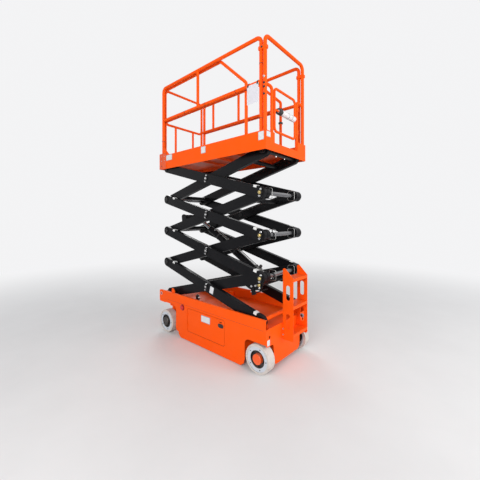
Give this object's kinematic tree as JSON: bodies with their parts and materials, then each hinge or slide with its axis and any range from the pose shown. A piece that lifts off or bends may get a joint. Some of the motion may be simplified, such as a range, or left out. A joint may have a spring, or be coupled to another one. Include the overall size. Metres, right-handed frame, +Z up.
{
  "type": "scissor lift",
  "caption": "Self-propelled electric scissor lift with a railed deck on crossed arms, slide-out deck end, rear ladder, steered front wheels and a box chassis with side doors.",
  "frame": {"origin": "centre of the bounding box, on the ground under the wheels", "axes": "+X forward towards the steered wheels, +Y to the machine's left, +Z up"},
  "size_m": [2.018, 0.862, 3.48],
  "materials": {
    "orange_paint": "smooth orange powder coat",
    "black_paint": "satin black paint",
    "zinc_pins": "bright and yellow zinc",
    "rod_chrome": "ground chrome rod",
    "dark_steel": "dark machined steel",
    "tyre": "non-marking solid rubber, beige grey",
    "wheel_rim": "light grey paint",
    "battery_case": "black battery case",
    "pump_case": "bare pump and tank",
    "white_sleeve": "white foam sleeve",
    "floor_steel": "checker plate"
  },
  "bodies": {
    "chassis": {"chassis_core": "orange_paint", "tray_floor": "orange_paint", "side_rail_left": "orange_paint", "side_rail_right": "orange_paint", "side_skirt_left": "orange_paint", "side_skirt_right": "orange_paint", "rear_plate": "orange_paint", "ladder": "orange_paint", "front_axle": "orange_paint", "rear_spindles": "dark_steel", "arm_tracks": "orange_paint", "pivot_mount": "orange_paint", "battery_box": "battery_case", "hydraulic_unit": "pump_case"},
    "knuckle_left": {"knuckle_left": "dark_steel"},
    "knuckle_right": {"knuckle_right": "dark_steel"},
    "wheel_front_left": {"tyre_front_left": "tyre", "rim_front_left": "wheel_rim"},
    "wheel_front_right": {"tyre_front_right": "tyre", "rim_front_right": "wheel_rim"},
    "wheel_rear_left": {"tyre_rear_left": "tyre", "rim_rear_left": "wheel_rim"},
    "wheel_rear_right": {"tyre_rear_right": "tyre", "rim_rear_right": "wheel_rim"},
    "door_left": {"door_left": "orange_paint"},
    "door_right": {"door_right": "orange_paint"},
    "guard_left": {"guard_left": "orange_paint"},
    "guard_right": {"guard_right": "orange_paint"},
    "outer_1": {"outer_arms_1": "black_paint", "arm_pins_1": "zinc_pins"},
    "inner_1": {"inner_arms_1": "black_paint", "track_rollers": "dark_steel"},
    "outer_2": {"outer_arms_2": "black_paint", "arm_pins_2": "zinc_pins"},
    "inner_2": {"inner_arms_2": "black_paint"},
    "outer_3": {"outer_arms_3": "black_paint", "arm_pins_3": "zinc_pins"},
    "inner_3": {"inner_arms_3": "black_paint"},
    "outer_4": {"outer_arms_4": "black_paint", "arm_pins_4": "zinc_pins"},
    "inner_4": {"inner_arms_4": "black_paint"},
    "lift_barrel": {"lift_barrel": "black_paint"},
    "lift_rod": {"lift_rod": "rod_chrome"},
    "platform": {"deck_floor": "floor_steel", "deck_sides": "orange_paint", "deck_bearers": "orange_paint", "rail_left": "orange_paint", "rail_right": "orange_paint", "rail_rear": "orange_paint"},
    "extension": {"extension_floor": "orange_paint", "extension_front_rail": "orange_paint", "extension_rail_left": "orange_paint", "extension_rail_right": "orange_paint"},
    "gate": {"gate": "orange_paint", "gate_sleeve": "white_sleeve"}
  },
  "joints": [
    {"name": "steer_left", "type": "hinge", "parent": "chassis", "child": "knuckle_left", "pos_m": [0.836, 0.285, 0.1525], "axis": [0, 0, 1], "range_deg": [-70, 70]},
    {"name": "steer_right", "type": "hinge", "parent": "chassis", "child": "knuckle_right", "pos_m": [0.836, -0.285, 0.1525], "axis": [0, 0, 1], "range_deg": [-70, 70]},
    {"name": "spin_front_left", "type": "hinge", "parent": "knuckle_left", "child": "wheel_front_left", "pos_m": [0.836, 0.373, 0.1525], "axis": [0, 1, 0], "continuous": true},
    {"name": "spin_front_right", "type": "hinge", "parent": "knuckle_right", "child": "wheel_front_right", "pos_m": [0.836, -0.373, 0.1525], "axis": [0, 1, 0], "continuous": true},
    {"name": "spin_rear_left", "type": "hinge", "parent": "chassis", "child": "wheel_rear_left", "pos_m": [-0.771, 0.373, 0.1525], "axis": [0, 1, 0], "continuous": true},
    {"name": "spin_rear_right", "type": "hinge", "parent": "chassis", "child": "wheel_rear_right", "pos_m": [-0.771, -0.373, 0.1525], "axis": [0, 1, 0], "continuous": true},
    {"name": "door_left_hinge", "type": "hinge", "parent": "chassis", "child": "door_left", "pos_m": [0.3765, 0.416, 0.28], "axis": [0, 0, -1], "range_deg": [0, 90]},
    {"name": "door_right_hinge", "type": "hinge", "parent": "chassis", "child": "door_right", "pos_m": [0.3765, -0.416, 0.28], "axis": [0, 0, 1], "range_deg": [0, 90]},
    {"name": "guard_left_fold", "type": "hinge", "parent": "chassis", "child": "guard_left", "pos_m": [-0.011, 0.408, 0.0747], "axis": [-1, 0, 0], "range_deg": [0, 85]},
    {"name": "guard_right_fold", "type": "hinge", "parent": "chassis", "child": "guard_right", "pos_m": [-0.011, -0.408, 0.0747], "axis": [1, 0, 0], "range_deg": [0, 85]},
    {"name": "mast_lift", "type": "hinge", "parent": "chassis", "child": "outer_1", "pos_m": [-0.78, 0, 0.53], "axis": [0, -1, 0], "range_deg": [-10.77, 35.04]},
    {"name": "centre_pin_1", "type": "hinge", "parent": "outer_1", "child": "inner_1", "pos_m": [0.05248, 0, 0.7525], "axis": [0, -1, 0], "range_deg": [-70.09, 21.57]},
    {"name": "rear_pin_1", "type": "hinge", "parent": "inner_1", "child": "outer_2", "pos_m": [-0.78, 0, 0.975], "axis": [0, -1, 0], "range_deg": [-21.57, 70.09]},
    {"name": "centre_pin_2", "type": "hinge", "parent": "outer_2", "child": "inner_2", "pos_m": [0.05248, 0, 1.1975], "axis": [0, -1, 0], "range_deg": [-70.09, 21.57]},
    {"name": "rear_pin_2", "type": "hinge", "parent": "inner_2", "child": "outer_3", "pos_m": [-0.78, 0, 1.42], "axis": [0, -1, 0], "range_deg": [-21.57, 70.09]},
    {"name": "centre_pin_3", "type": "hinge", "parent": "outer_3", "child": "inner_3", "pos_m": [0.05248, 0, 1.6425], "axis": [0, -1, 0], "range_deg": [-70.09, 21.57]},
    {"name": "rear_pin_3", "type": "hinge", "parent": "inner_3", "child": "outer_4", "pos_m": [-0.78, 0, 1.865], "axis": [0, -1, 0], "range_deg": [-21.57, 70.09]},
    {"name": "centre_pin_4", "type": "hinge", "parent": "outer_4", "child": "inner_4", "pos_m": [0.05248, 0, 2.0875], "axis": [0, -1, 0], "range_deg": [-70.09, 21.57]},
    {"name": "platform_level", "type": "hinge", "parent": "inner_4", "child": "platform", "pos_m": [-0.78, 0, 2.31], "axis": [0, -1, 0], "range_deg": [-10.79, 35.06]},
    {"name": "cylinder_base", "type": "hinge", "parent": "inner_1", "child": "lift_barrel", "pos_m": [-0.59598, 0, 0.85294], "axis": [0, -1, 0], "range_deg": [-21.04, 68.38]},
    {"name": "cylinder_stroke", "type": "slide", "parent": "lift_barrel", "child": "lift_rod", "axis": [0.8526, 0, 0.5225], "range_m": [-0.1993, 0.6471]},
    {"name": "deck_extend", "type": "slide", "parent": "platform", "child": "extension", "axis": [1, 0, 0], "range_m": [0, 0.9]},
    {"name": "gate_hinge", "type": "hinge", "parent": "platform", "child": "gate", "pos_m": [-0.8498, -0.24, 2.75], "axis": [0, 0, -1], "range_deg": [0, 90]}
  ],
  "couplings": [
    {"joint": "centre_pin_1", "follows": "mast_lift", "ratio": -2},
    {"joint": "rear_pin_1", "follows": "mast_lift", "ratio": 2},
    {"joint": "centre_pin_2", "follows": "mast_lift", "ratio": -2},
    {"joint": "rear_pin_2", "follows": "mast_lift", "ratio": 2},
    {"joint": "centre_pin_3", "follows": "mast_lift", "ratio": -2},
    {"joint": "rear_pin_3", "follows": "mast_lift", "ratio": 2},
    {"joint": "centre_pin_4", "follows": "mast_lift", "ratio": -2},
    {"joint": "platform_level", "follows": "mast_lift", "ratio": 1},
    {"joint": "cylinder_base", "follows": "mast_lift", "ratio": 1.9512},
    {"joint": "cylinder_stroke", "follows": "mast_lift", "m_per_rad": 1.0573},
    {"joint": "steer_right", "follows": "steer_left", "ratio": 1}
  ]
}
